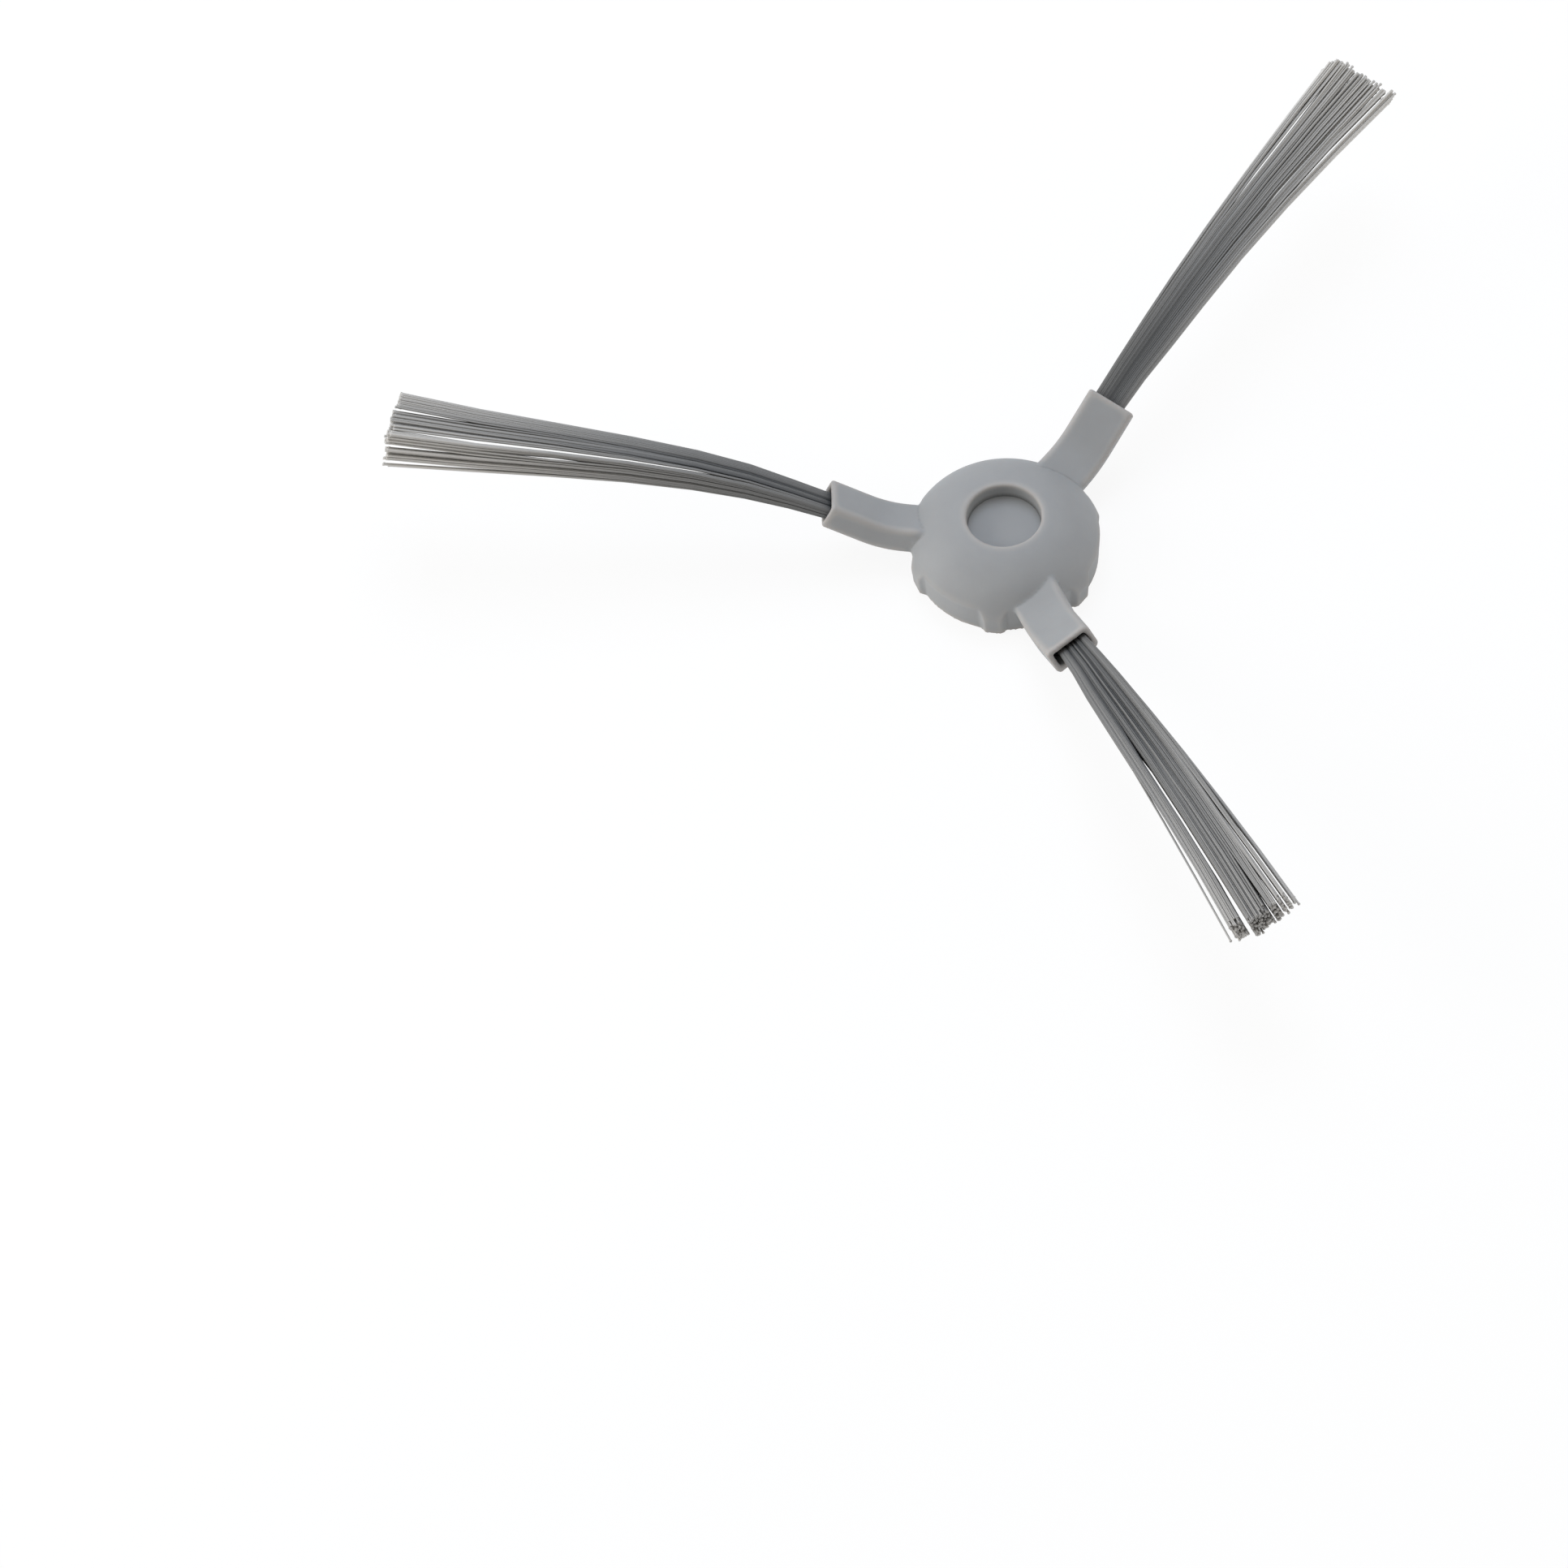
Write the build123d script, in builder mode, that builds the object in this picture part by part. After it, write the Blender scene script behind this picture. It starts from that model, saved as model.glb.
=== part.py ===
"""Robot vacuum side brush: a moulded rubber hub with three raised arms, each holding a tuft of bristles.

The origin is on the hub's axis, in the plane of the hub's rim. +Z points out of the dome, and the first arm
lies along +X. Lengths are in millimetres and angles in degrees.
"""
import os
import random
from math import cos, radians, sin, tan

from build123d import *

# Hub: a dome over a drafted rim, with a blind recess in its crown and grip lugs round the rim
hub_height = 9.4
dome_radius = 13.5
dome_base_height = 2.4
crown_radius = 3.6
recess_radius = 5.1
recess_depth = 2.5
lip_rounding = 0.5
rim_radius = 12.6
rim_draft = 4.0
lug_count = 6
lug_depth = 0.6
lug_width = 2.2
lug_flank = 45.0

# Underside: cored out, with a boss that presses on to a square drive shaft
skirt_wall = 1.8
core_depth = 3.8
boss_wall = 1.2
drive_square = 6.0
drive_depth = 5.0
drive_lead_in = 0.4

# Arms: level where they leave the hub, then bent upwards, with the section rolled about its own axis
arm_count = 3
arm_length = 11.7
arm_width = 6.9
arm_height = 3.75
arm_rounding = 0.7
arm_roll = 19.0
arm_rise = 28.0
arm_lift = 4.2
arm_bend_radius = 12.0
arm_root_height = 4.5
arm_root_overlap = 4.6
mouth_chamfer = 0.2

# Socket: a straight pocket in the end of the arm
socket_wall = 0.8
socket_depth = 6.5

# Bristles: filaments melted into one plug at the root, which fan out and level off towards their tips
plug_length = 3.0
filament_diameter = 0.3
filament_sides = 3
filament_columns = 14
filament_rows = 4
bundle_clearance = 0.15
tuft_runs = (10.7, 16.0, 32.0)
tuft_slopes = (20.3, 12.5, 6.25)
tip_sweeps = (2.6, 0.8, 1.7)
tip_width = 10.4
tip_thickness = 4.8
fan_exponent = 1.5
tip_scatter = 0.25
tip_raggedness = 0.6

# Places worked out from the sizes above
core_radius = rim_radius - skirt_wall
boss_radius = drive_square / 2**0.5 + boss_wall
arm_root = rim_radius - arm_root_overlap
mouth_reach = rim_radius + arm_length
mouth_height = arm_root_height + arm_lift
bend_corner = mouth_reach - arm_lift / tan(radians(arm_rise))
mouth_centre = Vector(mouth_reach, 0, mouth_height)
socket_width = arm_width - 2 * socket_wall
socket_height = arm_height - 2 * socket_wall


def rolled_plane(centre, rise):
    """The plane of a section of an arm or tuft: it faces outwards and up, and is rolled about its own axis."""
    outward = Vector(cos(radians(rise)), 0, sin(radians(rise)))
    upward = Vector(-sin(radians(rise)), 0, cos(radians(rise)))
    across = Vector(0, 1, 0) * cos(radians(arm_roll)) + upward * sin(radians(arm_roll))
    return Plane(origin=centre, x_dir=across, z_dir=outward)


mouth_plane = rolled_plane(mouth_centre, arm_rise)
socket_floor = mouth_plane.offset(-socket_depth)

# One arm along +X, with its socket
with BuildPart() as arm:
    with BuildLine(Plane.XZ) as arm_line:
        FilletPolyline(
            (arm_root, arm_root_height),
            (bend_corner, arm_root_height),
            (mouth_reach, mouth_height),
            radius=arm_bend_radius,
        )
    with BuildSketch(rolled_plane((arm_root, 0, arm_root_height), 0)):
        RectangleRounded(arm_width, arm_height, arm_rounding)
    sweep(path=arm_line.line)
    with BuildSketch(socket_floor):
        Rectangle(socket_width, socket_height)
    extrude(amount=socket_depth, mode=Mode.SUBTRACT)
    mouth_face = arm.faces().sort_by(Axis(mouth_centre, mouth_plane.z_dir))[-1]
    chamfer(mouth_face.edges(), length=mouth_chamfer)

# The hub and its three arms, one moulding
with BuildPart() as hub_and_arms:
    with BuildSketch(Plane.XZ):
        with BuildLine():
            Polyline(
                (crown_radius, hub_height),
                (0, hub_height),
                (0, 0),
                (dome_radius, 0),
                (dome_radius, dome_base_height),
            )
            EllipticalCenterArc(
                (crown_radius, dome_base_height),
                dome_radius - crown_radius,
                hub_height - dome_base_height,
                start_angle=0,
                arc_size=90,
            )
        make_face()
    revolve(axis=Axis.Z)

    # Below the dome the rim is drafted, and set back between the lugs
    with BuildSketch():
        Circle(rim_radius)
        with PolarLocations(rim_radius, lug_count, start_angle=180 / lug_count):
            Trapezoid(lug_width + 4 * lug_depth, 2 * lug_depth, lug_flank, rotation=-90)
    extrude(amount=hub_height, taper=-rim_draft, mode=Mode.INTERSECT)

    with BuildSketch(Plane.XY.offset(hub_height)):
        Circle(recess_radius)
    extrude(amount=-recess_depth, mode=Mode.SUBTRACT)
    lip = hub_and_arms.edges().filter_by(GeomType.CIRCLE).sort_by(Axis.Z)[-1]
    fillet(lip, radius=lip_rounding)

    with PolarLocations(0, arm_count):
        add(arm.part)

    # Underside
    with BuildSketch():
        Circle(core_radius)
        Circle(boss_radius, mode=Mode.SUBTRACT)
    extrude(amount=core_depth, mode=Mode.SUBTRACT)
    with BuildSketch():
        Rectangle(drive_square, drive_square)
    extrude(amount=drive_depth, mode=Mode.SUBTRACT)
    with BuildSketch():
        Rectangle(drive_square + 2 * drive_lead_in, drive_square + 2 * drive_lead_in)
    extrude(amount=drive_lead_in, taper=45, mode=Mode.SUBTRACT)
hub_and_arms.part.label = "hub_and_arms"
export_step(hub_and_arms.part, "parts/hub_and_arms.step")


def tuft_stations(sweep_at_tip):
    """Where a tuft's sections lie, from the mouth to the tip: each one's plane, and its share of the fan."""
    stations = [(mouth_plane, 0.0)]
    reach = mouth_reach
    height = mouth_height
    following_slopes = tuft_slopes[1:] + tuft_slopes[-1:]
    for run, slope, next_slope in zip(tuft_runs, tuft_slopes, following_slopes):
        reach += run
        height += run * tan(radians(slope))
        share = (reach - mouth_reach) / sum(tuft_runs)
        centre = Vector(reach, sweep_at_tip * share, height)
        stations.append((rolled_plane(centre, (slope + next_slope) / 2), share**fan_exponent))
    return stations


def bristle_tuft(sweep_at_tip, seed):
    """The tuft of the arm along +X: its filaments keep their order, so that none of them cross."""
    draw = random.Random(seed)
    stations = tuft_stations(sweep_at_tip)
    root_width = socket_width - 2 * bundle_clearance - filament_diameter
    root_thickness = socket_height - 2 * bundle_clearance - filament_diameter
    filaments = []
    for row in range(filament_rows):
        for column in range(filament_columns):
            stagger = 0.5 * (row % 2)
            across = (column + stagger) / (filament_columns - 0.5) - 0.5
            through = row / (filament_rows - 1) - 0.5
            across_shift = draw.uniform(-tip_scatter, tip_scatter) / filament_columns
            through_shift = draw.uniform(-tip_scatter, tip_scatter) / filament_rows
            cut_back = draw.uniform(-tip_raggedness, tip_raggedness)
            with BuildPart(mode=Mode.PRIVATE) as filament:
                with BuildSketch(socket_floor.offset(plug_length / 2)):
                    with Locations((across * root_width, through * root_thickness)):
                        RegularPolygon(filament_diameter / 2, filament_sides)
                for plane, fan in stations:
                    width = root_width + (tip_width - root_width) * fan
                    thickness = root_thickness + (tip_thickness - root_thickness) * fan
                    place = ((across + across_shift * fan) * width, (through + through_shift * fan) * thickness)
                    with BuildSketch(plane.offset(cut_back if fan == 1 else 0)):
                        with Locations(place):
                            RegularPolygon(filament_diameter / 2, filament_sides)
                loft(ruled=True)
            filaments.append(filament.part)
    with BuildPart() as tuft:
        with BuildSketch(socket_floor):
            Rectangle(socket_width, socket_height)
        extrude(amount=plug_length)
        add(filaments)
    return tuft.part


for number, sweep_at_tip in enumerate(tip_sweeps, start=1):
    name = f"bristle_tuft_{number}"
    with BuildPart() as placed_tuft:
        with PolarLocations(0, 1, start_angle=(number - 1) * 360 / arm_count):
            add(bristle_tuft(sweep_at_tip, seed=number))
    placed_tuft.part.label = name
    export_step(placed_tuft.part, f"parts/{name}.step")
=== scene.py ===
# %% [markdown]
# # A robot vacuum's side brush
# One soft rubber moulding makes the hub and its three arms, and each arm holds a tuft of nylon
# bristles. The CAD model already has every size, so the scene only has to give the pieces their
# surfaces: the rubber its rounded edges and matte skin, and the tufts their many fine filaments.
# Everything is in metres, in the CAD model's frame.

# %% Load the CAD frame
import math
import random

import bmesh
import bpy
import numpy as np
from mathutils import Matrix, Vector


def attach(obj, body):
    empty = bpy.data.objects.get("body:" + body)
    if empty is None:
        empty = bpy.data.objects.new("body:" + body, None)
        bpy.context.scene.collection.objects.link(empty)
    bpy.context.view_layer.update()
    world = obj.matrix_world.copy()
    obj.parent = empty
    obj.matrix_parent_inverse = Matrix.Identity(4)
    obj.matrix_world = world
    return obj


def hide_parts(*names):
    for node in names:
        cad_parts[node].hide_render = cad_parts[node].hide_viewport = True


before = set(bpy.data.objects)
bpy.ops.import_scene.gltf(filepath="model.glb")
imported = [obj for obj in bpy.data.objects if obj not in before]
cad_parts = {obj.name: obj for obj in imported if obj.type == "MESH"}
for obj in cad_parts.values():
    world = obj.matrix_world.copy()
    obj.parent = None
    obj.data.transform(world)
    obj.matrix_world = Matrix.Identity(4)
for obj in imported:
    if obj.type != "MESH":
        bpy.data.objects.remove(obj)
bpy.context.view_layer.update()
MM = 0.001
print("CAD nodes:", sorted(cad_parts))

# %% [markdown]
# ## Three helpers
# Colours are written as sRGB hex values, the way a paint chart gives them, but shaders calculate
# with linear light, so one function converts them. A second one adds a shader node, sets it up and
# links it in a single call, and a third one starts an empty material. A Mix node has several sockets
# of the same name, so the ones that carry its colours are picked by number.

# %% Colour and node helpers
MIX_FROM = 6
MIX_TO = 7
MIX_RESULT = 2


def hex_colour(code):
    """An sRGB hex value such as "#9a9fa2" as linear red, green, blue and alpha."""
    channels = [int(code[start : start + 2], 16) / 255 for start in (1, 3, 5)]
    linear = [c / 12.92 if c <= 0.04045 else ((c + 0.055) / 1.055) ** 2.4 for c in channels]
    return (*linear, 1.0)


def add_node(tree, kind, inputs, **settings):
    """A new node with its settings. An input is a plain value, or the output socket it is linked to."""
    node = tree.nodes.new(kind)
    for name, value in settings.items():
        setattr(node, name, value)
    for socket, value in inputs.items():
        if isinstance(value, bpy.types.NodeSocket):
            tree.links.new(value, node.inputs[socket])
        else:
            node.inputs[socket].default_value = value
    return node


def new_material(name):
    """An empty material, with the node tree that its shader goes in."""
    material = bpy.data.materials.new(name)
    material.use_nodes = True
    material.node_tree.nodes.clear()
    return material, material.node_tree


print("middle grey in linear light:", [round(value, 3) for value in hex_colour("#808080")])

# %% [markdown]
# ## Colours of the rubber
# The hub is TPE, a thermoplastic rubber, shot into a finely eroded steel mould. That leaves a matte,
# slightly mottled grey, cloudy at a few millimetres. On top of that grey goes painted light: a paler,
# warmer colour along its thin edges, for the light that gets into the rubber there, and painted shade
# in its creases, where light doesn't reach. A painted picture would have to be fitted to the shape by
# hand. Two attributes that are worked out from the hub's own mesh, further down, place those colours
# instead.

# %% Rubber colours
MOTTLE_SIZE = 5 * MM
RUBBER_GREYS = ("#8f9091", "#9a9b9b")
# painted light: a paler, warmer grey along thin edges, where light gets into the rubber
PAINTED_EDGE_LIGHT = "#a4a19e"
# painted shade: a darker grey in the creases, where light doesn't reach
PAINTED_CREASE_SHADE = "#565655"

rubber, tree = new_material("moulded_grey_tpe")
place = add_node(tree, "ShaderNodeTexCoord", {})
mottle = add_node(
    tree,
    "ShaderNodeTexNoise",
    {"Vector": place.outputs["Object"], "Scale": 1 / MOTTLE_SIZE, "Detail": 4.0, "Roughness": 0.6},
)
skin = add_node(
    tree,
    "ShaderNodeMix",
    {
        "Factor": mottle.outputs["Fac"],
        MIX_FROM: hex_colour(RUBBER_GREYS[0]),
        MIX_TO: hex_colour(RUBBER_GREYS[1]),
    },
    data_type="RGBA",
)
# painted edge light: how much of the paler edge grey each place takes
edge = add_node(tree, "ShaderNodeAttribute", {}, attribute_name="painted_edge_light_share")
edge_lit_skin = add_node(
    tree,
    "ShaderNodeMix",
    {
        "Factor": edge.outputs["Fac"],
        MIX_FROM: skin.outputs[MIX_RESULT],
        MIX_TO: hex_colour(PAINTED_EDGE_LIGHT),
    },
    data_type="RGBA",
)
# painted shade in creases: how much of the darker grey each place takes
crease = add_node(tree, "ShaderNodeAttribute", {}, attribute_name="crease_shade")
crease_shaded_skin = add_node(
    tree,
    "ShaderNodeMix",
    {
        "Factor": crease.outputs["Fac"],
        MIX_FROM: edge_lit_skin.outputs[MIX_RESULT],
        MIX_TO: hex_colour(PAINTED_CREASE_SHADE),
    },
    data_type="RGBA",
)
print("rubber greys:", RUBBER_GREYS, "mottled at", MOTTLE_SIZE / MM, "mm")

# %% [markdown]
# ## Grain and shine of the rubber
# The eroded steel gives the rubber a fine grain that dulls its shine. The grain could be modelled,
# but a bump in the material costs no faces. It is drawn at about 0.35 mm, coarser than the real one,
# so that it shows. A little of the light enters soft rubber and leaves it again close by, which the
# shader's subsurface part imitates over about half a millimetre, reddest light furthest.

# %% Rubber shader
GRAIN_SIZE = 0.35 * MM
GRAIN_DEPTH = 0.012 * MM
LIGHT_REACH = (0.6 * MM, 0.38 * MM, 0.3 * MM)

grain = add_node(
    tree,
    "ShaderNodeTexNoise",
    {"Vector": place.outputs["Object"], "Scale": 1 / GRAIN_SIZE, "Detail": 2.0},
)
grain_bump = add_node(
    tree,
    "ShaderNodeBump",
    {"Height": grain.outputs["Fac"], "Distance": GRAIN_DEPTH, "Strength": 0.5},
)
rubber_shader = add_node(
    tree,
    "ShaderNodeBsdfPrincipled",
    {
        "Base Color": crease_shaded_skin.outputs[MIX_RESULT],
        "Roughness": 0.6,
        "IOR": 1.5,
        "Subsurface Weight": 0.25,
        "Subsurface Radius": LIGHT_REACH,
        "Subsurface Scale": 1.0,
        "Normal": grain_bump.outputs["Normal"],
    },
)
add_node(tree, "ShaderNodeOutputMaterial", {"Surface": rubber_shader.outputs["BSDF"]})
print(rubber.name, "with a grain of", GRAIN_SIZE / MM, "mm")

# %% [markdown]
# ## The soft hub
# A mould leaves no sharp edges in rubber, but the CAD solid has some, where the arms leave the dome
# and round the lugs. A bevel would have to find its way through the solid's uneven triangles. A
# voxel remesh is safer: it rebuilds a copy of the skin from small even faces, and a little smoothing
# then rounds every crease by about a voxel.

# %% Hub and arms
MERGE_DISTANCE = 0.001 * MM
HUB_VOXEL = 0.215 * MM
SMOOTHING = 0.5

soft_hub = bpy.data.objects.new("soft_hub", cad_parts["hub_and_arms"].data.copy())
bpy.context.scene.collection.objects.link(soft_hub)
skin_mesh = bmesh.new()
skin_mesh.from_mesh(soft_hub.data)
bmesh.ops.remove_doubles(skin_mesh, verts=skin_mesh.verts, dist=MERGE_DISTANCE)
skin_mesh.to_mesh(soft_hub.data)
skin_mesh.free()

remesh = soft_hub.modifiers.new("even_faces", "REMESH")
remesh.mode = "VOXEL"
remesh.voxel_size = HUB_VOXEL
smooth = soft_hub.modifiers.new("rounded_creases", "SMOOTH")
smooth.factor = SMOOTHING
smooth.iterations = 1
finished = soft_hub.evaluated_get(bpy.context.evaluated_depsgraph_get())
hub_mesh = bpy.data.meshes.new_from_object(finished)
soft_hub.modifiers.clear()
soft_hub.data = hub_mesh
hub_mesh.name = "soft_hub"
print("soft hub:", len(hub_mesh.polygons), "faces")

# %% [markdown]
# ## Lip and floor of the recess
# The round recess in the crown has a lip that is softer than the other edges, and a flat floor that
# meets its wall in a crisp corner. The remesh has rounded both alike. More smoothing all over would
# lose the lugs and the mouths, so only the vertices near the lip are smoothed further, and those of
# the floor are put back at one height. Faces that meet at a steep angle are then shaded as a corner.

# %% Recess
HUB_HEIGHT = 9.4 * MM
RECESS_RADIUS = 5.1 * MM
RECESS_DEPTH = 2.5 * MM
LIP_BAND = 1.4 * MM
LIP_PASSES = 14
FLOOR_BAND = 2 * HUB_VOXEL
CORNER_ANGLE = math.radians(50)

lip_mesh = bmesh.new()
lip_mesh.from_mesh(hub_mesh)
lip = Vector((RECESS_RADIUS, HUB_HEIGHT))
lip_verts = []
for vertex in lip_mesh.verts:
    if (Vector((vertex.co.xy.length, vertex.co.z)) - lip).length < LIP_BAND:
        lip_verts.append(vertex)
for turn in range(LIP_PASSES):
    bmesh.ops.smooth_vert(
        lip_mesh, verts=lip_verts, factor=SMOOTHING, use_axis_x=True, use_axis_y=True, use_axis_z=True
    )
floor_height = HUB_HEIGHT - RECESS_DEPTH
for vertex in lip_mesh.verts:
    if vertex.co.xy.length < RECESS_RADIUS and abs(vertex.co.z - floor_height) < FLOOR_BAND:
        vertex.co.z = floor_height
lip_mesh.to_mesh(hub_mesh)
lip_mesh.free()

hub_mesh.materials.clear()
hub_mesh.materials.append(rubber)
hub_mesh.shade_smooth()
hub_mesh.set_sharp_from_angle(angle=CORNER_ANGLE)
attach(soft_hub, "root")
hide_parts("hub_and_arms")
print("recess lip:", len(lip_verts), "vertices smoothed, floor at", round(floor_height / MM, 2), "mm")

# %% [markdown]
# ## How far the skin bulges
# Where the painted light of the edges and the painted shade of the creases go could be drawn on a
# picture, but the mesh itself knows. A vertex on a rounded edge stands proud of the vertices round it,
# so its neighbours lie behind its own tangent plane, and in a crease they lie in front of it. That
# height is the bulge. NumPy works it out for all the vertices at once, which a loop in Python would do
# far more slowly.

# %% Bulge at each vertex
places = np.empty((len(hub_mesh.vertices), 3), np.float32)
normals = np.empty_like(places)
ends = np.empty((len(hub_mesh.edges), 2), np.int32)
hub_mesh.vertices.foreach_get("co", places.ravel())
hub_mesh.vertices.foreach_get("normal", normals.ravel())
hub_mesh.edges.foreach_get("vertices", ends.ravel())
start, end = ends.T
step = places[end] - places[start]
step /= np.linalg.norm(step, axis=1, keepdims=True)
neighbours = np.bincount(ends.ravel(), minlength=len(places))


def gathered(to_start, to_end):
    """The mean, at each vertex, of what its edges bring to it."""
    total = np.bincount(start, to_start, len(places)) + np.bincount(end, to_end, len(places))
    return total / neighbours


bulge = gathered(-(step * normals[start]).sum(1), (step * normals[end]).sum(1))
print("bulge from", round(float(bulge.min()), 2), "to", round(float(bulge.max()), 2))

# %% [markdown]
# ## Painted edge light and crease shade
# The bulge of single vertices is too jumpy to colour the rubber with. It is averaged over rings of
# neighbours, many for the soft painted light along the edges and few for the thin painted shade in the
# creases, and kept on the mesh as the two attributes that the rubber's material reads.

# %% Painted edge light and crease shade
EDGE_RINGS = 28
EDGE_BULGE = (0.0115, 0.048)
CREASE_RINGS = 2
CREASE_BULGE = (0.035, 0.16)
CREASE_STRENGTH = 0.75


def averaged(values, rings):
    """Values spread over so many rings of neighbours."""
    for ring in range(rings):
        values = (values + gathered(values[end], values[start])) / 2
    return values


def keep_on_hub(name, values, low, high):
    """Values from low to high as an attribute from 0 to 1."""
    shares = np.clip((values - low) / (high - low), 0, 1).astype(np.float32)
    hub_mesh.attributes.new(name, "FLOAT", "POINT").data.foreach_set("value", shares)
    print(name, "over a tenth on", round(100 * float((shares > 0.1).mean())), "% of the hub")


# painted light along the rounded edges
keep_on_hub("painted_edge_light_share", averaged(bulge, EDGE_RINGS), *EDGE_BULGE)
# painted shade in the creases, at most CREASE_STRENGTH of the darker grey
crease_low, crease_high = CREASE_BULGE
crease_span = (crease_high - crease_low) / CREASE_STRENGTH
hollow = np.minimum(averaged(-bulge, CREASE_RINGS), crease_high)
keep_on_hub("crease_shade", hollow, crease_low, crease_low + crease_span)

# %% [markdown]
# ## Nylon filament
# The bristles are nylon drawn into round monofilament, grey right through and satin on the outside.
# Thin nylon lets light through, so filaments look dark where they are crowded, and paler at the loose
# tips and the sides of a tuft. Scattering light inside hundreds of tubes that touch is slow and
# grainy to render, so that light and shade are painted on each filament's vertices instead, as a
# shade from 0 for the darkest to 1, while the tuft is made.

# %% Filament material
# the nylon's grey in painted shade at the crowded root, and in painted light at the loose tips
NYLON_IN_PAINTED_SHADE = "#3b3d3f"
NYLON_IN_PAINTED_LIGHT = "#cac7c2"

filament_nylon, tree = new_material("drawn_grey_nylon")
# painted light and shade stored on the filaments, from 0 to 1
shade = add_node(tree, "ShaderNodeAttribute", {}, attribute_name="shade")
nylon_painted_light = add_node(
    tree,
    "ShaderNodeMix",
    {
        "Factor": shade.outputs["Fac"],
        MIX_FROM: hex_colour(NYLON_IN_PAINTED_SHADE),
        MIX_TO: hex_colour(NYLON_IN_PAINTED_LIGHT),
    },
    data_type="RGBA",
)
nylon_shader = add_node(
    tree,
    "ShaderNodeBsdfPrincipled",
    {"Base Color": nylon_painted_light.outputs[MIX_RESULT], "Roughness": 0.42, "IOR": 1.53},
)
add_node(tree, "ShaderNodeOutputMaterial", {"Surface": nylon_shader.outputs["BSDF"]})
print(filament_nylon.name, "from", NYLON_IN_PAINTED_SHADE, "to", NYLON_IN_PAINTED_LIGHT)

# %% [markdown]
# ## Where the camera stands
# The camera stands far off with a long lens, so that near and far look almost the same size. It comes
# before the tufts because the partings between their bristles only show when they lie along the
# view. An orthographic camera would be simpler, but it can't show the small difference in size that
# even a long lens keeps.

# %% Camera directions
CAMERA_AZIMUTH = math.radians(69.95)
CAMERA_ELEVATION = math.radians(53.35)
CAMERA_ROLL = math.radians(-3.2)

away = Vector(
    (
        math.sin(CAMERA_AZIMUTH) * math.cos(CAMERA_ELEVATION),
        -math.cos(CAMERA_AZIMUTH) * math.cos(CAMERA_ELEVATION),
        math.sin(CAMERA_ELEVATION),
    )
)
level_right = Vector((math.cos(CAMERA_AZIMUTH), math.sin(CAMERA_AZIMUTH), 0))
level_up = away.cross(level_right)
photo_right = level_right * math.cos(CAMERA_ROLL) + level_up * math.sin(CAMERA_ROLL)
photo_up = level_up * math.cos(CAMERA_ROLL) - level_right * math.sin(CAMERA_ROLL)
print("towards the camera:", [round(value, 3) for value in away])

# %% [markdown]
# ## The camera and its lens
# The hub isn't in the middle of the picture. The camera is aimed so that the middle of the recess's
# lip lands on its own pixel, and the lens is as long as the distance and the size of a pixel ask for.

# %% Camera
PHOTO_PIXELS = 1932
PIXEL = 0.1102 * MM
CAMERA_DISTANCE = 24000 * PIXEL
LIP_HEIGHT = 9.3 * MM
LIP_IN_PHOTO = (1236.85, 634.65)
SENSOR_WIDTH = 36.0
CLIP_NEAR = 0.1
CLIP_FAR = 20

camera_place = Vector((0, 0, LIP_HEIGHT)) + away * CAMERA_DISTANCE
to_right = (PHOTO_PIXELS / 2 - LIP_IN_PHOTO[0]) * PIXEL
to_top = (LIP_IN_PHOTO[1] - PHOTO_PIXELS / 2) * PIXEL
sight = (photo_right * to_right + photo_up * to_top - away * CAMERA_DISTANCE).normalized()
camera_right = sight.cross(photo_up).normalized()
camera_up = camera_right.cross(sight)

camera_data = bpy.data.cameras.new("photo_camera")
camera_data.sensor_width = SENSOR_WIDTH
camera_data.lens = CAMERA_DISTANCE / (PHOTO_PIXELS * PIXEL) * SENSOR_WIDTH
camera_data.clip_start = CLIP_NEAR
camera_data.clip_end = CLIP_FAR
camera = bpy.data.objects.new("photo_camera", camera_data)
turned = Matrix((camera_right, camera_up, -sight)).transposed().to_4x4()
camera.matrix_world = Matrix.Translation(camera_place) @ turned
bpy.context.scene.collection.objects.link(camera)
bpy.context.scene.camera = camera
print("camera lens", round(camera_data.lens), "mm")

# %% [markdown]
# ## How a tuft lies
# A tuft leaves its arm's mouth as a flat bundle, bends outwards under its own springiness, and fans
# out. A curve object could carry it, but the fan and the twist are easier to set with formulas: its
# middle line and half sizes are smooth polynomials in one number, x, which is 0 at the mouth and 1 at
# the tip. Soft rubber never sets three arms quite alike, so each tuft has its own small sway, lift,
# spread, twist and bow. All three are made along +X, and turned to their own arms at the end.

# %% The line of a tuft
MOUTH_REACH = 24.3 * MM
MOUTH_HEIGHT = 8.7 * MM
TUFT_LENGTH = 59.4 * MM
TUFT_ROLL = math.radians(20.6)
TUFT_TWIST = math.radians(4.6)
# how far the middle line goes: the parts that grow with x, with its square and with its cube
SIDEWAYS = (0.84 * MM, 3.62 * MM, -2.74 * MM)
UPWARDS = (25.31 * MM, -25.47 * MM, 11.14 * MM)
# the half sizes at the mouth, then the parts that grow with x and with its square
HALF_WIDTH = (2.40 * MM, 1.02 * MM, 1.88 * MM)
HALF_THICKNESS = (0.79 * MM, 1.70 * MM)
# turn and twist are in degrees, the others in millimetres
TUFT_HABITS = {
    "bristle_tuft_1": {"turn": 0, "sway": 1.43, "lift": 0.24, "spread": -0.77, "twist": 2.9, "bow": 0.28},
    "bristle_tuft_2": {"turn": 120, "sway": -0.98, "lift": -0.35, "spread": -0.36, "twist": 0, "bow": 0},
    "bristle_tuft_3": {"turn": 240, "sway": -0.02, "lift": 0.04, "spread": 0.13, "twist": -4.6, "bow": 0},
}


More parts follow.
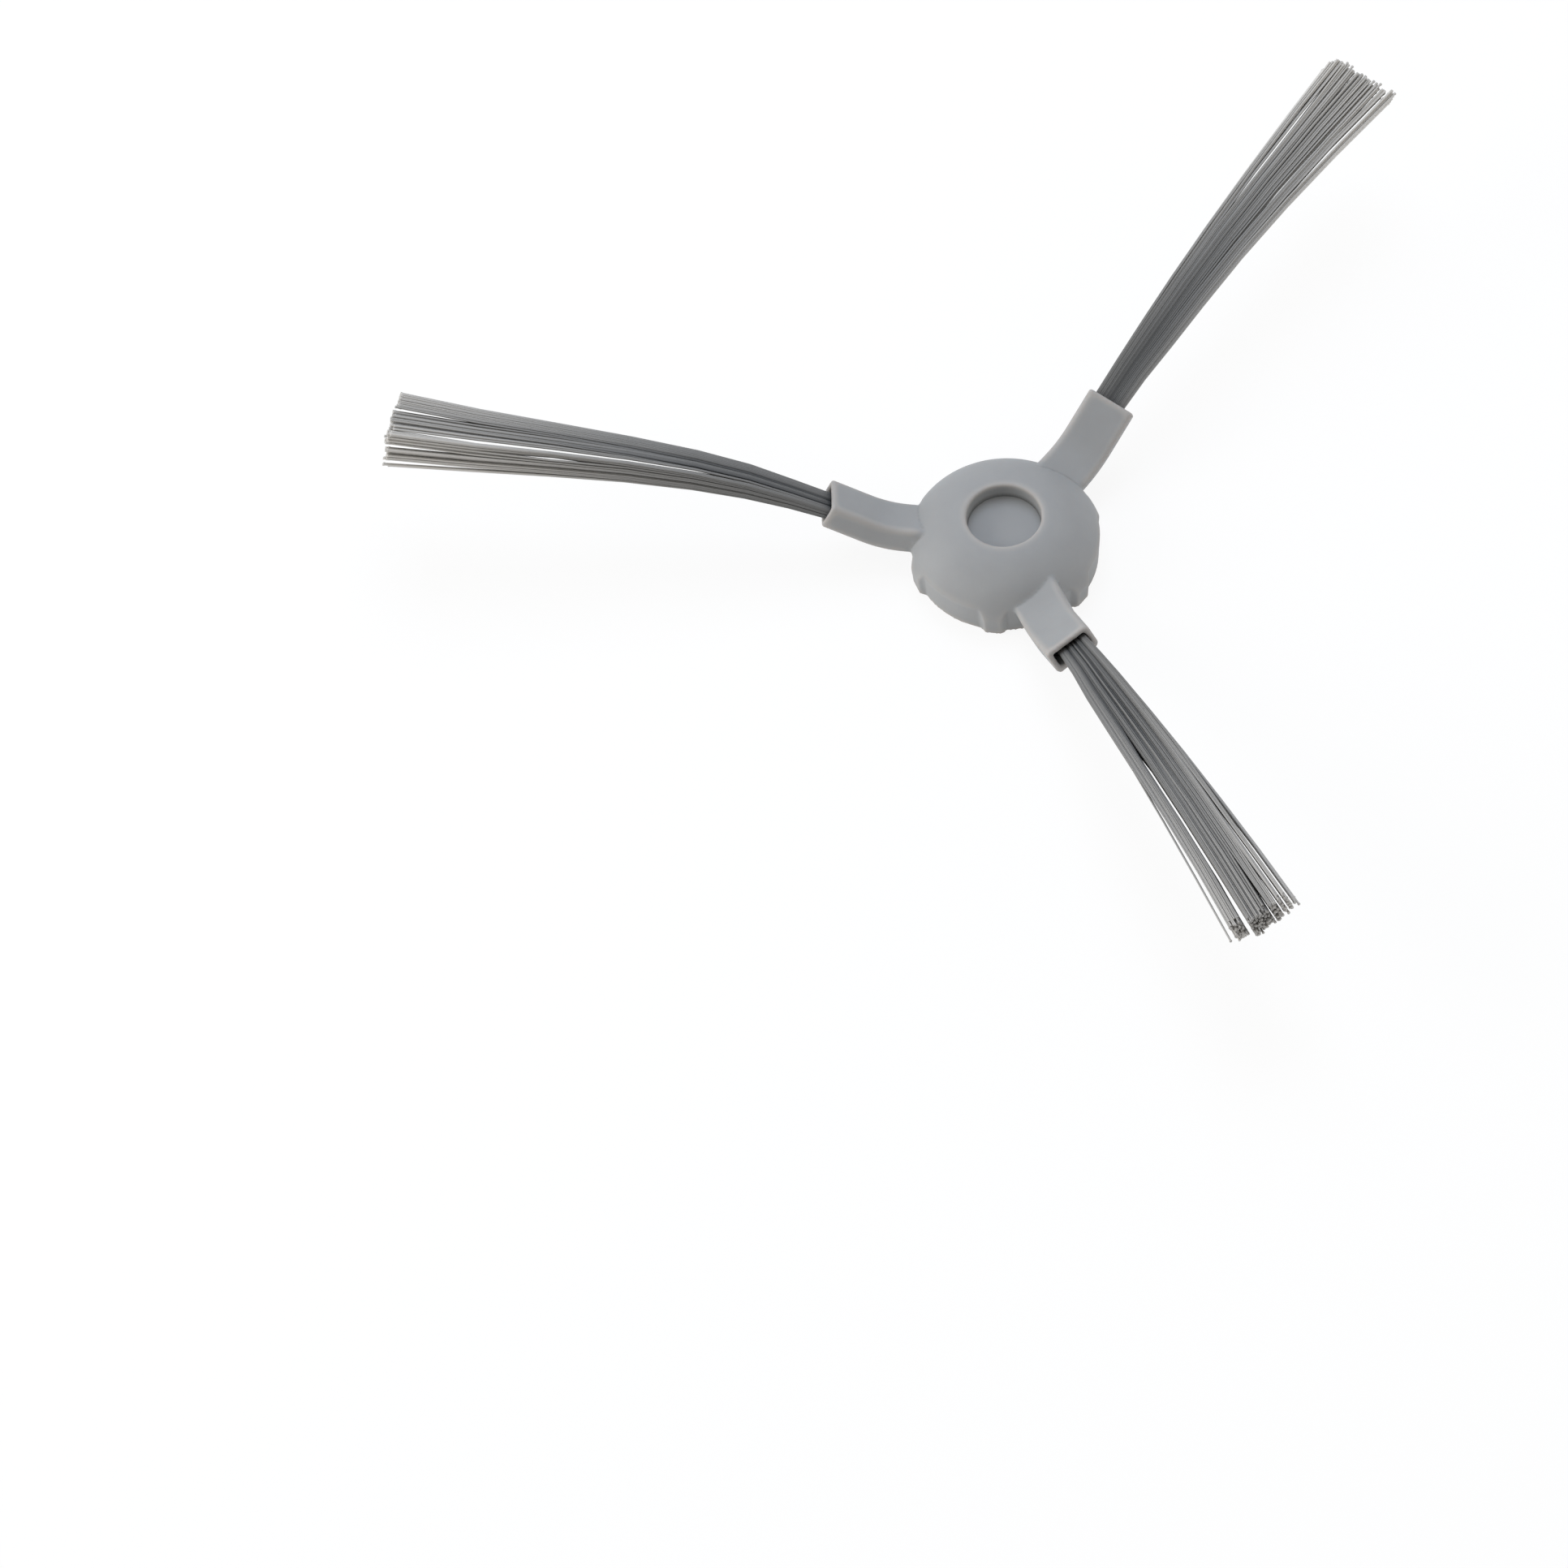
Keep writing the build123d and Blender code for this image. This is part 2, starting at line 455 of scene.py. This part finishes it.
def tuft_section(habit, x):
    """A tuft's section at x: its middle, its two directions, and its half width and half thickness."""
    # a bow is 0 at both ends and widest halfway
    bow = habit["bow"] * MM * 4 * x * (1 - x)
    drift = SIDEWAYS[1] + habit["sway"] * MM
    curl = UPWARDS[1] + habit["lift"] * MM
    fan = HALF_WIDTH[2] + habit["spread"] * MM
    side = bow + SIDEWAYS[0] * x + drift * x**2 + SIDEWAYS[2] * x**3
    height = MOUTH_HEIGHT + UPWARDS[0] * x + curl * x**2 + UPWARDS[2] * x**3
    slope = math.atan((UPWARDS[0] + 2 * curl * x + 3 * UPWARDS[2] * x**2) / TUFT_LENGTH)
    roll = TUFT_ROLL + (TUFT_TWIST + math.radians(habit["twist"])) * x
    middle = Vector((MOUTH_REACH + TUFT_LENGTH * x, side, height))
    upward = Vector((-math.sin(slope), 0, math.cos(slope)))
    across = Vector((0, 1, 0)) * math.cos(roll) + upward * math.sin(roll)
    through = upward * math.cos(roll) - Vector((0, 1, 0)) * math.sin(roll)
    half_width = bow + HALF_WIDTH[0] + HALF_WIDTH[1] * x + fan * x**2
    half_thickness = HALF_THICKNESS[0] + HALF_THICKNESS[1] * x
    return middle, across, through, half_width, half_thickness


for name, habit in TUFT_HABITS.items():
    tip = tuft_section(habit, 1.0)[0]
    print(name, "tip at", [round(value / MM, 1) for value in tip])

# %% [markdown]
# ## One filament
# A hair system would be quick to draw, but the part is also exported as a mesh, so each filament is a
# real, closed tube. One straight filament is made as a pattern: a small disc, extruded ring after
# ring. Every filament of a tuft is a copy of it, with its rings carried to their own places: one ring
# in the plug, some along the tuft, and three close together at the cut end.

# %% Filament pattern
FILAMENT_RADIUS = 0.15 * MM
FILAMENT_SIDES = 5
RING_GAP = 1 * MM
STEPS = (0.0, 0.08, 0.18, 0.3, 0.45, 0.62, 0.8)
CUT_STEPS = (0.006, 0.003, 0.0)
RINGS = 1 + len(STEPS) + len(CUT_STEPS)

tube = bmesh.new()
bmesh.ops.create_circle(tube, cap_ends=True, segments=FILAMENT_SIDES, radius=FILAMENT_RADIUS)
cut_face = tube.faces[:][0]
for ring in range(1, RINGS):
    cut_face = bmesh.ops.extrude_discrete_faces(tube, faces=[cut_face])["faces"][0]
    bmesh.ops.translate(tube, verts=cut_face.verts, vec=(0, 0, RING_GAP))
root_rim = [edge for edge in tube.edges if edge.is_boundary]
bmesh.ops.holes_fill(tube, edges=root_rim, sides=FILAMENT_SIDES)
bmesh.ops.recalc_face_normals(tube, faces=tube.faces)
filament_pattern = bpy.data.meshes.new("filament_pattern")
tube.to_mesh(filament_pattern)
tube.free()
print("filament pattern:", len(filament_pattern.polygons), "faces")

# %% [markdown]
# ## Places in the bundle
# At the mouth the filaments lie packed side by side. Places drawn wholly at random would leave clumps
# and holes, so the bundle is a grid with every second row staggered, jittered so that no rows show.
# A place is two numbers, across the bundle and through it, each from -1 to 1. A filament keeps its
# place all along the tuft, apart from a little wandering, so that they hardly ever cross.

# %% Bundle places
BUNDLE_COLUMNS = 34
BUNDLE_ROWS = 10
COLUMN_JITTER = 0.4
ROW_JITTER = 0.3


def drawn_place(row, column, draw):
    """A filament's place across and through the bundle, each from -1 to 1."""
    staggered = column + 0.5 * (row % 2) + draw.uniform(-COLUMN_JITTER, COLUMN_JITTER)
    across = 2 * staggered / (BUNDLE_COLUMNS - 0.5) - 1
    through = 2 * (row + draw.uniform(-ROW_JITTER, ROW_JITTER)) / (BUNDLE_ROWS - 1) - 1
    return min(max(across, -1), 1), min(max(through, -1), 1)


print("filaments in a tuft:", BUNDLE_COLUMNS * BUNDLE_ROWS)

# %% [markdown]
# ## The tuft as the camera sees it
# The partings between the bristles are gaps that the eye looks straight through. The tuft is tilted
# to the view, so a filament low in the bundle appears shifted sideways from one above it. These
# helpers work that shift out, and give a filament's place across the tuft as the camera sees it.

# %% Seen places
AXIS_STEP = 0.05


def seen_lean(habit, x):
    """How far a filament appears shifted across the tuft for its place through the thickness."""
    middle, across, through, half_width, half_thickness = tuft_section(habit, x)
    axis = tuft_section(habit, x + AXIS_STEP)[0] - middle
    to_arm = Matrix.Rotation(-math.radians(habit["turn"]), 3, "Z")
    seen_side = (to_arm @ away).cross(axis).normalized()
    return through.dot(seen_side) * half_thickness / (across.dot(seen_side) * half_width)


def seen_place(habit, bundle_place, x):
    """A filament's place across the tuft as seen, from -1 to 1, and half the width that it spans."""
    lean = seen_lean(habit, x)
    span = 1 + abs(lean)
    return (bundle_place[0] + lean * bundle_place[1]) / span, span


for name, habit in TUFT_HABITS.items():
    print(name, "lean at the tip", round(seen_lean(habit, 1.0), 2))

# %% [markdown]
# ## Locks and partings
# Towards the tip the filaments stick together in locks, with thin partings between the locks that let
# the white floor show through. Chance alone would hardly ever leave such a gap open through ten rows,
# so each parting is placed: across the tuft as the camera sees it, from -1 at the clockwise edge to
# 1. It opens at one place along the tuft and may close again at another.

# %% Partings
# place, gap as a share of the half width, where it opens, where it is fully open, where it closes
PARTINGS = {
    "bristle_tuft_1": [
        (-0.97, 0.080, 0.40, 0.75, 2.0),
        (-0.48, 0.065, 0.36, 0.44, 2.0),
        (-0.48, 0.050, 0.80, 1.05, 2.0),
        (0.28, 0.050, 0.85, 1.00, 2.0),
        (0.56, 0.050, 0.70, 1.00, 2.0),
        (0.72, 0.055, 0.40, 0.75, 2.0),
        (0.88, 0.055, 0.45, 0.80, 2.0),
    ],
    "bristle_tuft_2": [
        (-0.78, 0.056, 0.45, 0.78, 1.15),
        (-0.60, 0.045, 0.75, 0.98, 2.0),
        (-0.40, 0.050, 0.30, 0.62, 0.95),
        (0.24, 0.040, 0.75, 0.98, 2.0),
        (0.69, 0.060, 0.36, 0.58, 1.05),
        (0.80, 0.045, 0.45, 0.72, 1.05),
        (0.92, 0.045, 0.10, 0.35, 0.70),
    ],
    "bristle_tuft_3": [
        (-0.52, 0.060, 0.65, 0.98, 2.0),
        (0.05, 0.068, 0.00, 0.30, 1.10),
        (0.33, 0.065, 0.40, 0.58, 0.80),
        (0.47, 0.058, 0.72, 0.98, 2.0),
        (0.90, 0.060, 0.65, 1.00, 2.0),
    ],
}
print("partings:", {name: len(partings) for name, partings in PARTINGS.items()})

# %% [markdown]
# ## Giving way to a parting
# A parting pushes the filaments on its two sides apart, the nearest ones most. Cutting a gap out of
# the finished tuft would also cut filaments off, and a push keeps them whole. It grows smoothly from
# where the parting opens. A filament belongs to the side on which it is seen near the tip.

# %% Sides and push
CLOSING = 0.25
SIDES_CHOSEN_AT = 0.8


def smooth_step(low, high, x):
    """A smooth rise from 0 at low to 1 at high."""
    share = min(max((x - low) / (high - low), 0), 1)
    return share * share * (3 - 2 * share)


def parting_sides(name, bundle_place, wander):
    """The side of each parting that a filament belongs to, as 1 or -1."""
    loose_place = (bundle_place[0] + wander[0], bundle_place[1] + wander[1])
    seen = seen_place(TUFT_HABITS[name], loose_place, SIDES_CHOSEN_AT)[0]
    return [1 if seen > parting[0] else -1 for parting in PARTINGS[name]]


def parting_push(name, sides, seen, x):
    """How far the partings push a filament aside at x, across the tuft as the camera sees it."""
    push = 0
    for (place, gap, opens, full, closes), side in zip(PARTINGS[name], sides):
        closed = smooth_step(max(full, closes - CLOSING), closes, x)
        share = smooth_step(opens, full, x) * (1 - closed)
        beside = max(side * (seen - place), 0)
        astray = max(side * (place - seen), 0)
        push += side * (math.hypot(beside, gap * share) - beside + astray * share)
    return push


for name in PARTINGS:
    middle_sides = parting_sides(name, (0, 0), (0, 0))
    middle_push = parting_push(name, middle_sides, 0, 1.0)
    print(name, "middle filament is pushed by", round(middle_push, 3), "of the half width")

# %% [markdown]
# ## Furrows at the root
# Near the mouth, thick strands lie side by side with shallow furrows between them. Dark paint alone
# would look flat from other sides, so the upper filaments sink into the furrows, deepest near the
# mouth, where less light reaches them. A furrow's place is given across the bundle, from -1 to 1.

# %% Furrows
# place, half width, strength
FURROWS = {
    "bristle_tuft_1": [(-0.40, 0.09, 0.8), (-0.02, 0.08, 1.0), (0.22, 0.08, 1.0), (0.58, 0.09, 0.9)],
    "bristle_tuft_2": [(-0.06, 0.28, 0.5)],
    "bristle_tuft_3": [(-0.20, 0.15, 0.8), (0.45, 0.12, 0.8)],
}
FURROW_DEPTH = 0.45
FURROW_FADES = (0.2, 0.7)


def furrow_share(name, across):
    """How near a place across the bundle is to the bottom of a furrow, from 0 to 1."""
    shares = []
    for place, half_width, strength in FURROWS[name]:
        shares.append(strength * math.exp(-(((across - place) / half_width) ** 2)))
    return max(shares)


print("furrows:", {name: len(furrows) for name, furrows in FURROWS.items()})

# %% [markdown]
# ## The path of a filament
# A filament follows its tuft's middle line at its own place in the bundle, wanders a little, sinks
# into a furrow and gives way to the partings. At the mouth the bundle is squeezed a little and lies
# towards one corner of the socket. Points along that path are all that the pattern needs, so no
# curve objects have to be made and thrown away.

# %% Filament path
MOUTH_SHIFT = (0.33 * MM, -0.2 * MM)
MOUTH_SQUEEZE = 0.13
MOUTH_HOLD = 0.25


def filament_path(name, bundle_place, wander, sides, reach):
    """The points that a filament passes, from the mouth to its cut end, and the x of each one."""
    habit = TUFT_HABITS[name]
    furrow = furrow_share(name, bundle_place[0])
    alongs = [*STEPS, *(reach - back for back in CUT_STEPS)]
    points = []
    for x in alongs:
        middle, across, through, half_width, half_thickness = tuft_section(habit, x)
        loose = smooth_step(0, 1, x)
        a = bundle_place[0] + wander[0] * loose
        b = bundle_place[1] + wander[1] * loose
        b -= FURROW_DEPTH * furrow * (1 + b) / 2 * (1 - smooth_step(*FURROW_FADES, x))
        seen, span = seen_place(habit, (a, b), x)
        a += parting_push(name, sides, seen, x) * span
        held = 1 - smooth_step(0, MOUTH_HOLD, x)
        squeeze = 1 - MOUTH_SQUEEZE * held
        shift = (across * MOUTH_SHIFT[0] + through * MOUTH_SHIFT[1]) * held
        offset = (across * half_width * a + through * half_thickness * b) * squeeze
        points.append(middle + offset + shift)
    return points, alongs


for name in TUFT_HABITS:
    middle_sides = parting_sides(name, (0, 0), (0, 0))
    middle_path = filament_path(name, (0, 0), (0, 0), middle_sides, 1.0)[0]
    print(name, "middle filament ends", round(middle_path[-1].z / MM, 1), "mm up")

# %% [markdown]
# ## Streaks along a tuft
# Neighbouring filaments share a streak of light or dark, as strands of one drawing batch do. A noise
# texture would cut across the filaments. Instead a few tints are drawn from one side of the bundle
# to the other, and each filament takes a blend of the two that it lies between.

# %% Streaks
STREAKS = 13
STREAK_SPREAD = 0.08
# just under the number of streaks, so that the last filament still lies between two tints
STREAK_SPAN = 0.999 * STREAKS


def drawn_streaks(draw):
    """The tints at the edges of the streaks, from one side of the bundle to the other."""
    return [draw.uniform(-STREAK_SPREAD, STREAK_SPREAD) for edge in range(STREAKS + 1)]


def streak_tint(streak_tints, across):
    """The tint at a place across the bundle, blended from the two that it lies between."""
    streak, share = divmod((across + 1) / 2 * STREAK_SPAN, 1)
    before, after = streak_tints[int(streak) : int(streak) + 2]
    return before * (1 - share) + after * share


print("streaks:", STREAKS, "with about", round(BUNDLE_COLUMNS / STREAKS, 1), "columns in each")

# %% [markdown]
# ## The shade of a filament
# Each filament carries its own painted light and shade, ring by ring: painted shade at the crowded
# root and in a furrow, painted light towards the tip, at the sides of the tuft and on its underside,
# which the floor lights, and a touch more painted light where it is cut. Its tint, from its streak and
# its own small share of chance, comes on top. A picture wrapped on the tuft could not follow so many
# tubes.

# %% Filament shades
# painted light and shade: how pale the root is, and how much paler the tip and the sides are, set for
# each tuft by the light it gets
PAINTED_PALENESS = {
    "bristle_tuft_1": (0.10, 0.34, 0.21),
    "bristle_tuft_2": (0.07, 0.76, 0.32),
    "bristle_tuft_3": (0.05, 0.62, 0.26),
}
SIDE_STARTS = 0.2
SIDE_AT_ROOT = 0.35
UNDERSIDE_PAINTED_LIGHT = 0.35
FURROW_SHADE = 0.09
TINT_AT_ROOT = 0.6
CUT_PAINTED_LIGHT = 0.04


def filament_shades(name, bundle_place, tint, alongs):
    """A filament's painted light and shade at each x, from 0 to 1."""
    at_root, to_tip, to_side = PAINTED_PALENESS[name]
    furrow = furrow_share(name, bundle_place[0])
    side = smooth_step(SIDE_STARTS, 1, abs(bundle_place[0]))
    depth = (1 - bundle_place[1]) / 2
    shades = []
    for x in alongs:
        painted_light = at_root + (to_tip + UNDERSIDE_PAINTED_LIGHT * depth) * x**2
        painted_light += to_side * side * (SIDE_AT_ROOT + (1 - SIDE_AT_ROOT) * x)
        painted_light -= FURROW_SHADE * furrow * (1 - x / 2)
        painted_light += tint * (TINT_AT_ROOT + (1 - TINT_AT_ROOT) * x)
        shades.append(painted_light)
    shades[-1] += CUT_PAINTED_LIGHT
    shades[-2] += CUT_PAINTED_LIGHT
    return [min(max(value, 0), 1) for value in shades]


for name in PAINTED_PALENESS:
    middle_shades = filament_shades(name, (0, 0), 0, [*STEPS, 1.0])
    print(name, "middle shade from", round(middle_shades[0], 2), "to", round(middle_shades[-1], 2))

# %% [markdown]
# ## How a tuft is trimmed
# The tufts are cut to length, but their locks don't end level: each reaches a little past or short of
# the usual end, and single filaments end unevenly. The front tuft is also cut at a slant, so that its
# underside is shorter than its top. Cutting a finished tuft with a plane would leave it too neat, so
# each filament gets its own length before it is made.

# %% Trim
# how far the locks between the partings reach past the usual end, in millimetres
LOCK_REACH = {
    "bristle_tuft_1": (1.6, 0.5, 0.5, 1.5, 1.7, 1.6, 1.6, 1.6),
    "bristle_tuft_2": (0.2, -0.1, -0.3, -0.6, -1.0, -1.4, -1.8, -2.2),
    "bristle_tuft_3": (0.3, 0.6, 0.8, 0.9, 0.7, 0.7),
}
RAGGED_ENDS = {"bristle_tuft_1": 0.35 * MM, "bristle_tuft_2": 0.25 * MM, "bristle_tuft_3": 0.2 * MM}
SLANTED_TRIM = {"bristle_tuft_1": 1.8 * MM, "bristle_tuft_2": 0.0, "bristle_tuft_3": 0.0}
USUAL_END = 0.982
FURTHEST_END = 1.012


def filament_reach(name, sides, through, draw):
    """The x at which a filament is cut."""
    lock = sides.count(1)
    extra = LOCK_REACH[name][lock] * MM + draw.gauss(0, 1) * RAGGED_ENDS[name]
    extra += min(through, 0) * SLANTED_TRIM[name]
    return min(USUAL_END + extra / TUFT_LENGTH, FURTHEST_END)


print("usual end:", round(USUAL_END * TUFT_LENGTH / MM, 1), "mm from the mouth")

# %% [markdown]
# ## Carrying the pattern along a path
# The pattern's rings lie one above the other, a fixed gap apart, so a vertex's height tells which
# ring it belongs to. A matrix for each ring then carries its vertices to the path and turns them to
# face along it. Cutting nylon leaves a small burr, so the last two rings are a little wider.

# %% Filament copies
BURR = 1.35


def filament_frame(here, ahead):
    """A matrix at a point of a filament, with its Z axis towards the next point."""
    axis = (ahead - here).normalized()
    side = Vector((0, 1, 0)).cross(axis).normalized()
    return Matrix.Translation(here) @ Matrix((side, axis.cross(side), axis)).transposed().to_4x4()


def add_filament(tuft, points, shades, shade_layer):
    """A copy of the pattern with its rings at the points and its shades stored."""
    first = len(tuft.verts)
    tuft.from_mesh(filament_pattern)
    tuft.verts.ensure_lookup_table()
    ahead = [*points[1:], 2 * points[-1] - points[-2]]
    frames = [filament_frame(here, there) for here, there in zip(points, ahead)]
    for vertex in tuft.verts[first:]:
        ring = round(vertex.co.z / RING_GAP)
        size = BURR if ring >= RINGS - 2 else 1
        vertex.co = frames[ring] @ Vector((vertex.co.x * size, vertex.co.y * size, 0))
        vertex[shade_layer] = shades[ring]


print("burr:", round(2 * BURR * FILAMENT_RADIUS / MM, 2), "mm across")

# %% [markdown]
# ## The melted root
# The filaments of a tuft are melted together at the root, into a plug that fills the bottom of the
# arm's socket. Almost none of it shows, so a cube, sized and turned to the socket, with its edges
# eased by a bevel, is enough.

# %% Plug
ARM_RISE = math.radians(28)
ARM_ROLL = math.radians(19)
SOCKET_DEPTH = 6.5 * MM
PLUG_LENGTH = 3.0 * MM
PLUG_SIZE = (5.3 * MM, 2.15 * MM)
PLUG_EASING = 0.15 * MM

arm_outward = Vector((math.cos(ARM_RISE), 0, math.sin(ARM_RISE)))
arm_upward = Vector((-math.sin(ARM_RISE), 0, math.cos(ARM_RISE)))


def add_plug(tuft):
    """The plug at the bottom of the socket of the arm along +X."""
    plug = bmesh.ops.create_cube(tuft, size=1)["verts"]
    across = Vector((0, 1, 0)) * math.cos(ARM_ROLL) + arm_upward * math.sin(ARM_ROLL)
    turned = Matrix((across, arm_outward.cross(across), arm_outward)).transposed().to_4x4()
    middle = Vector((MOUTH_REACH, 0, MOUTH_HEIGHT)) - arm_outward * (SOCKET_DEPTH - PLUG_LENGTH / 2)
    sized = Matrix.Diagonal((*PLUG_SIZE, PLUG_LENGTH, 1))
    bmesh.ops.transform(tuft, matrix=Matrix.Translation(middle) @ turned @ sized, verts=plug)
    plug_edges = list(dict.fromkeys(edge for vertex in plug for edge in vertex.link_edges))
    bmesh.ops.bevel(
        tuft, geom=plug_edges, offset=PLUG_EASING, affect="EDGES", segments=2, profile=0.5, material=-1
    )


print("plug:", [round(size / MM, 2) for size in (*PLUG_SIZE, PLUG_LENGTH)], "mm")

# %% [markdown]
# ## The three tufts
# Everything is ready to grow a tuft, filament by filament. Each tuft draws its random numbers from a
# seed of its own, so that it comes out the same each time. The filaments start a little way inside
# the plug, so that no gap shows. A tuft is one piece, because the melted root holds it together.

# %% Grow the tufts
WANDER = (0.02, 0.04)
OWN_SPREAD = 0.03
ROOT_IN_PLUG = 0.4 * MM


def grow_tuft(name, seed):
    """One tuft with its plug, along +X, and then turned to its own arm."""
    draw = random.Random(seed)
    tuft = bmesh.new()
    shade_layer = tuft.verts.layers.float.new("shade")
    to_root = arm_outward * (SOCKET_DEPTH - PLUG_LENGTH + ROOT_IN_PLUG)
    streak_tints = drawn_streaks(draw)
    for row in range(BUNDLE_ROWS):
        for column in range(BUNDLE_COLUMNS):
            bundle_place = drawn_place(row, column, draw)
            wander = (draw.gauss(0, WANDER[0]), draw.gauss(0, WANDER[1]))
            sides = parting_sides(name, bundle_place, wander)
            reach = filament_reach(name, sides, bundle_place[1], draw)
            tint = streak_tint(streak_tints, bundle_place[0]) + draw.gauss(0, OWN_SPREAD)
            points, alongs = filament_path(name, bundle_place, wander, sides, reach)
            shades = filament_shades(name, bundle_place, tint, [0, *alongs])
            add_filament(tuft, [points[0] - to_root, *points], shades, shade_layer)
    add_plug(tuft)
    turn = Matrix.Rotation(math.radians(TUFT_HABITS[name]["turn"]), 3, "Z")
    bmesh.ops.rotate(tuft, verts=tuft.verts, matrix=turn)
    bmesh.ops.recalc_face_normals(tuft, faces=tuft.faces)
    mesh = bpy.data.meshes.new(name + "_filaments")
    tuft.to_mesh(mesh)
    tuft.free()
    return mesh


for seed, name in enumerate(TUFT_HABITS, start=1):
    mesh = grow_tuft(name, seed)
    mesh.materials.append(filament_nylon)
    mesh.shade_smooth()
    piece = bpy.data.objects.new(name + "_filaments", mesh)
    bpy.context.scene.collection.objects.link(piece)
    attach(piece, "root")
    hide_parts(name)
    print(piece.name, len(mesh.polygons), "faces")

# %% [markdown]
# ## A white that is only looked at
# A catalogue picture has a pure white surround. More light would give it, but would also bleach the
# brush. So the floor and the sky show white only to the rays that look at them: those of the camera,
# and those that a piece mirrors or lets through. All the other rays meet a plain level of light.

# %% Looking rays


def looking_rays(tree):
    """An output that is 1 for the rays that show the tent: seen, mirrored, or passing a piece."""
    ray = add_node(tree, "ShaderNodeLightPath", {})
    seen_or_mirrored = add_node(
        tree,
        "ShaderNodeMath",
        {0: ray.outputs["Is Camera Ray"], 1: ray.outputs["Is Glossy Ray"]},
        operation="MAXIMUM",
    )
    any_look = add_node(
        tree,
        "ShaderNodeMath",
        {0: seen_or_mirrored.outputs["Value"], 1: ray.outputs["Is Transmission Ray"]},
        operation="MAXIMUM",
    )
    return any_look.outputs["Value"]


print("rays that look: camera, glossy and transmission")

# %% [markdown]
# ## The floor
# The floor of the tent is a plain white sheet. It answers the rays that look at it mostly with its
# own white, and keeps a trace of the brush's shadow. From below the sheet is clear, so that the brush
# can also be looked at from underneath.

# %% Floor
FLOOR_HALF = 1.5
SHADOW_SHARE = 0.12

floor_finish, tree = new_material("white_tent_floor")
glow_share = add_node(
    tree,
    "ShaderNodeMath",
    {0: looking_rays(tree), 1: 1 - SHADOW_SHARE},
    operation="MULTIPLY",
)
sheet = add_node(tree, "ShaderNodeBsdfDiffuse", {"Color": hex_colour("#ffffff")})
glow = add_node(tree, "ShaderNodeEmission", {"Color": hex_colour("#ffffff"), "Strength": 1.0})
floor_mix = add_node(
    tree,
    "ShaderNodeMixShader",
    {0: glow_share.outputs["Value"], 1: sheet.outputs["BSDF"], 2: glow.outputs["Emission"]},
)
face = add_node(tree, "ShaderNodeNewGeometry", {})
clear = add_node(tree, "ShaderNodeBsdfTransparent", {})
one_sided = add_node(
    tree,
    "ShaderNodeMixShader",
    {0: face.outputs["Backfacing"], 1: floor_mix.outputs["Shader"], 2: clear.outputs["BSDF"]},
)
add_node(tree, "ShaderNodeOutputMaterial", {"Surface": one_sided.outputs["Shader"]})

sheet_mesh = bmesh.new()
bmesh.ops.create_grid(sheet_mesh, x_segments=1, y_segments=1, size=FLOOR_HALF)
floor_mesh = bpy.data.meshes.new("tent_floor")
sheet_mesh.to_mesh(floor_mesh)
sheet_mesh.free()
floor_mesh.materials.append(floor_finish)
floor = bpy.data.objects.new("tent_floor", floor_mesh)
bpy.context.scene.collection.objects.link(floor)
print("floor", 2 * FLOOR_HALF, "m wide")

# %% [markdown]
# ## Sky and lamps
# The tent's walls give a soft, slightly warm light from all round, which the world's background
# stands for. Three panels shape it: a cool one above and behind the brush, a stronger one low on the
# left, so that the dome is brighter on that side, and a weak one low on the right, which keeps the
# far sides of the arms from going dark.

# %% Light
TENT_LIGHT = 0.55
TENT_WARMTH = "#fffdfa"
LAMPS = {
    "overhead_panel": {"place": (-0.42, 0.15, 0.8), "size": 0.6, "watts": 3.6, "colour": "#dceaff"},
    "left_panel": {"place": (-0.3, -0.82, 0.32), "size": 0.6, "watts": 5.0, "colour": "#fffefc"},
    "right_panel": {"place": (0.35, 0.85, 0.3), "size": 0.6, "watts": 1.1, "colour": "#fffcf8"},
}

sky = bpy.data.worlds.new("white_tent")
bpy.context.scene.world = sky
sky.use_nodes = True
tree = sky.node_tree
tree.nodes.clear()
tent_light = add_node(
    tree, "ShaderNodeBackground", {"Color": hex_colour(TENT_WARMTH), "Strength": TENT_LIGHT}
)
tent_white = add_node(tree, "ShaderNodeBackground", {"Color": hex_colour("#ffffff"), "Strength": 1.0})
tent = add_node(
    tree,
    "ShaderNodeMixShader",
    {0: looking_rays(tree), 1: tent_light.outputs["Background"], 2: tent_white.outputs["Background"]},
)
add_node(tree, "ShaderNodeOutputWorld", {"Surface": tent.outputs["Shader"]})

for name, lamp in LAMPS.items():
    light = bpy.data.lights.new(name, "AREA")
    light.size = lamp["size"]
    light.energy = lamp["watts"]
    light.color = hex_colour(lamp["colour"])[:3]
    panel = bpy.data.objects.new(name, light)
    panel.location = lamp["place"]
    panel.rotation_euler = (-Vector(lamp["place"])).to_track_quat("-Z", "Y").to_euler()
    bpy.context.scene.collection.objects.link(panel)
    print(name, lamp["watts"], "W")

# %% [markdown]
# ## Last lines
# The picture shows colours as they are written.

# %% View and the end
bpy.context.scene.view_settings.view_transform = "Standard"
